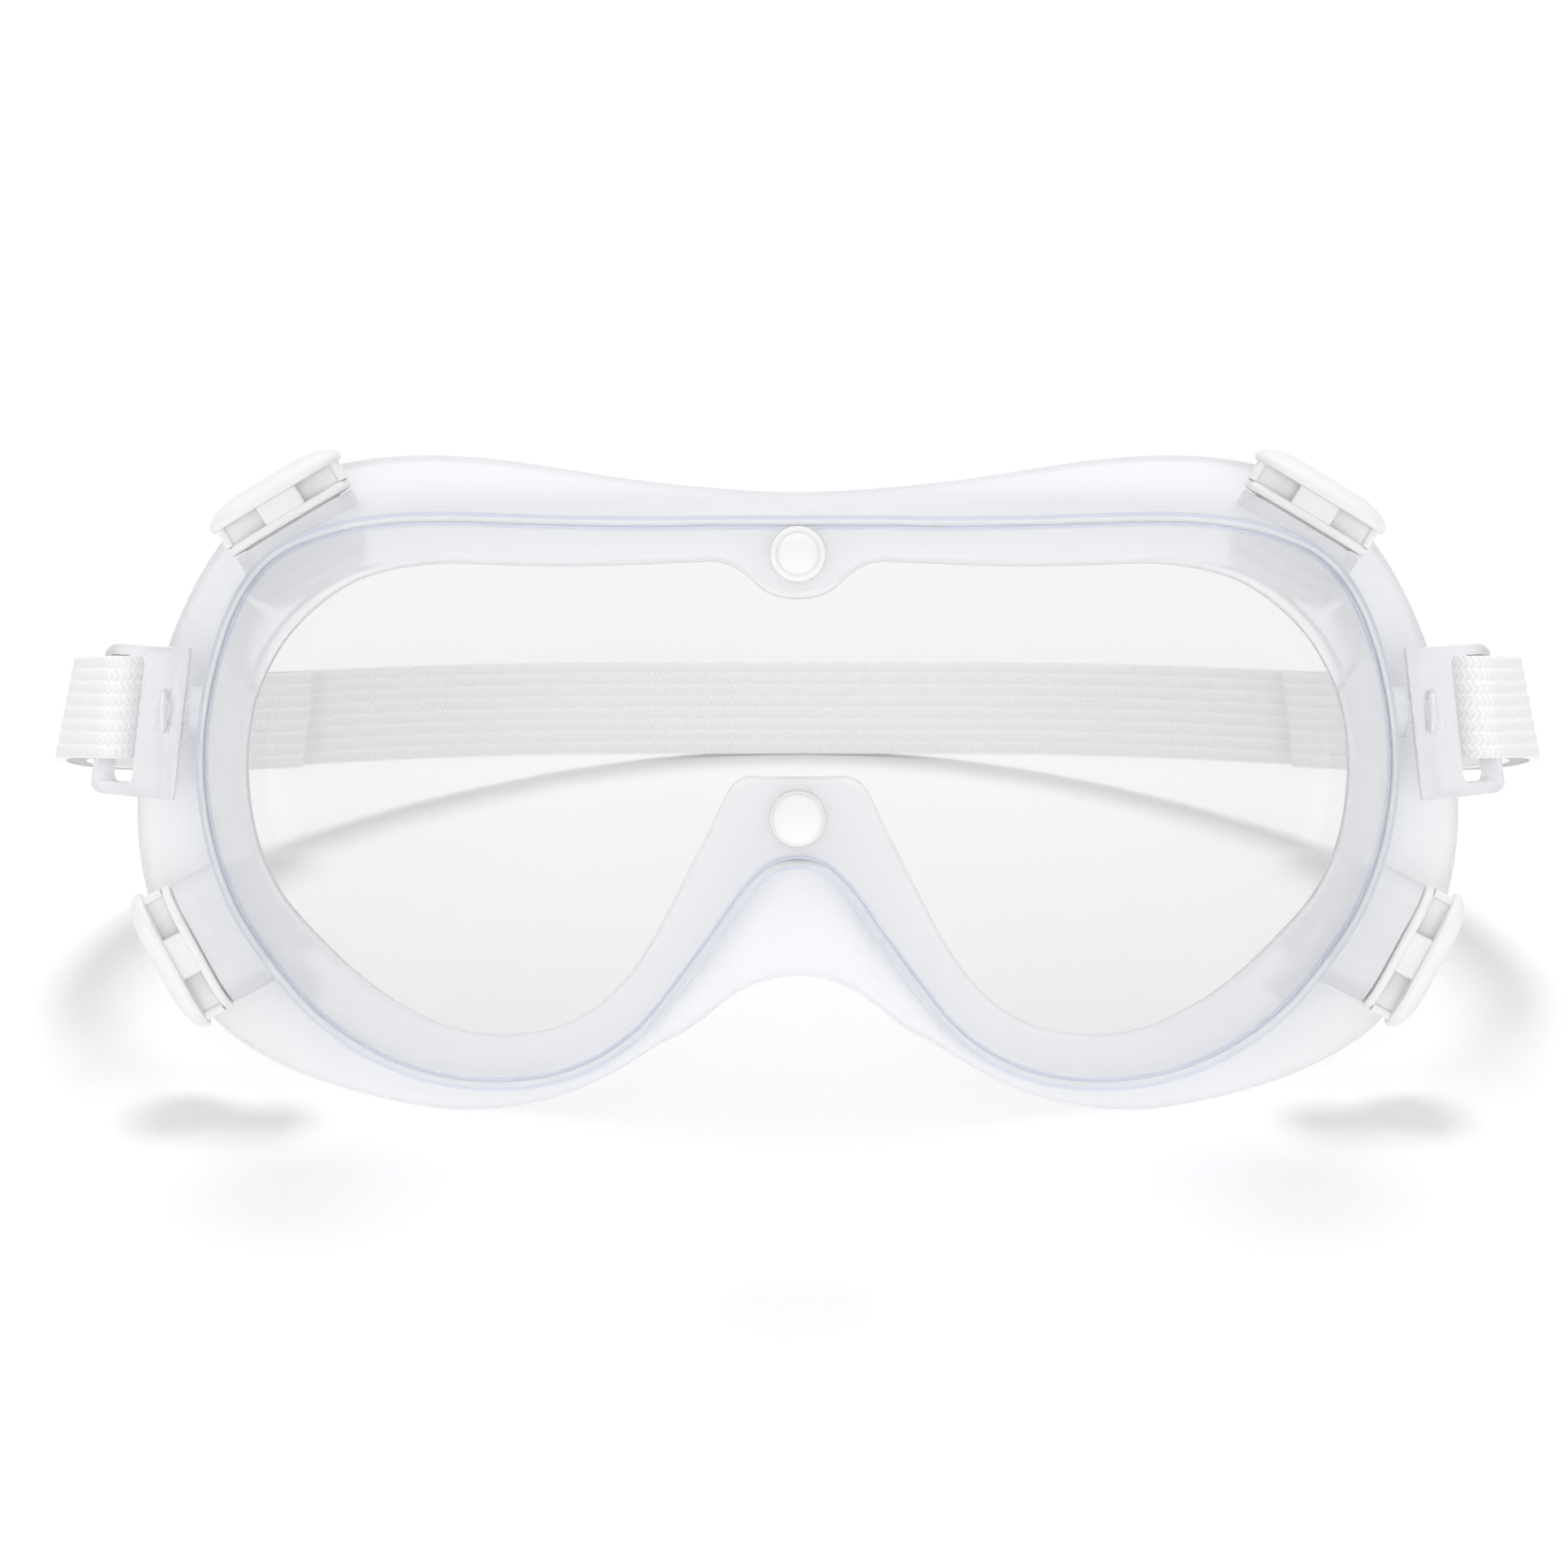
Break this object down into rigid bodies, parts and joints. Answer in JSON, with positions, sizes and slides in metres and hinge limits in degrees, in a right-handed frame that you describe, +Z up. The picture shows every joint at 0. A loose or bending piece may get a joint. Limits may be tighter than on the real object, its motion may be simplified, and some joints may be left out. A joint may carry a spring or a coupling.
{
  "type": "safety goggles",
  "caption": "Indirect-vent splash goggles: soft clear frame, curved lens held by push rivets, capped vents, and an elastic headband on pinned side clips.",
  "frame": {"origin": "centre of the bounding box on the ground that the goggles stand on", "axes": "+X to the right as seen from the front, +Y from the lens towards the wearer's head, +Z up"},
  "size_m": [0.1938, 0.1668, 0.0841],
  "materials": {
    "clear_vinyl": "soft clear moulded vinyl with a faint blue tint",
    "clear_polycarbonate": "polished clear sheet",
    "white_plastic": "satin white moulding",
    "clear_plastic": "hard clear moulding",
    "white_elastic": "white knitted elastic with lengthwise ribs"
  },
  "bodies": {
    "goggles": {"frame_skirt": "clear_vinyl", "lens": "clear_polycarbonate", "top_rivet_socket": "white_plastic", "nose_rivet_socket": "white_plastic", "vent_base_upper_left": "white_plastic", "vent_retainer_upper_left": "white_plastic", "vent_base_upper_right": "white_plastic", "vent_retainer_upper_right": "white_plastic", "vent_base_lower_left": "white_plastic", "vent_retainer_lower_left": "white_plastic", "vent_base_lower_right": "white_plastic", "vent_retainer_lower_right": "white_plastic", "clip_pin_left": "clear_plastic", "clip_pin_right": "clear_plastic"},
    "headband": {"headband_strap": "white_elastic", "strap_clip_left": "clear_plastic", "strap_clip_right": "clear_plastic", "strap_slide_left": "white_plastic", "strap_slide_right": "white_plastic"},
    "top_plug": {"top_rivet_plug": "white_plastic"},
    "nose_plug": {"nose_rivet_plug": "white_plastic"},
    "cap_upper_left": {"vent_cap_upper_left": "white_plastic"},
    "cap_upper_right": {"vent_cap_upper_right": "white_plastic"},
    "cap_lower_left": {"vent_cap_lower_left": "white_plastic"},
    "cap_lower_right": {"vent_cap_lower_right": "white_plastic"}
  },
  "joints": [
    {"name": "headband_swing", "type": "hinge", "parent": "goggles", "child": "headband", "pos_m": [0, -0.02669, 0.04514], "axis": [1, 0, 0], "range_deg": [-20, 30]},
    {"name": "top_plug_pull", "type": "slide", "parent": "goggles", "child": "top_plug", "axis": [0, -0.9511, 0.309], "range_m": [0, 0.003]},
    {"name": "nose_plug_pull", "type": "slide", "parent": "goggles", "child": "nose_plug", "axis": [0, -0.9511, 0.309], "range_m": [0, 0.003]},
    {"name": "cap_upper_left_pull", "type": "slide", "parent": "goggles", "child": "cap_upper_left", "axis": [-0.515, 0.2649, 0.8152], "range_m": [0, 0.004]},
    {"name": "cap_upper_right_pull", "type": "slide", "parent": "goggles", "child": "cap_upper_right", "axis": [0.515, 0.2649, 0.8152], "range_m": [0, 0.004]},
    {"name": "cap_lower_left_pull", "type": "slide", "parent": "goggles", "child": "cap_lower_left", "axis": [-0.8796, -0.147, -0.4523], "range_m": [0, 0.004]},
    {"name": "cap_lower_right_pull", "type": "slide", "parent": "goggles", "child": "cap_lower_right", "axis": [0.8796, -0.147, -0.4523], "range_m": [0, 0.004]}
  ]
}
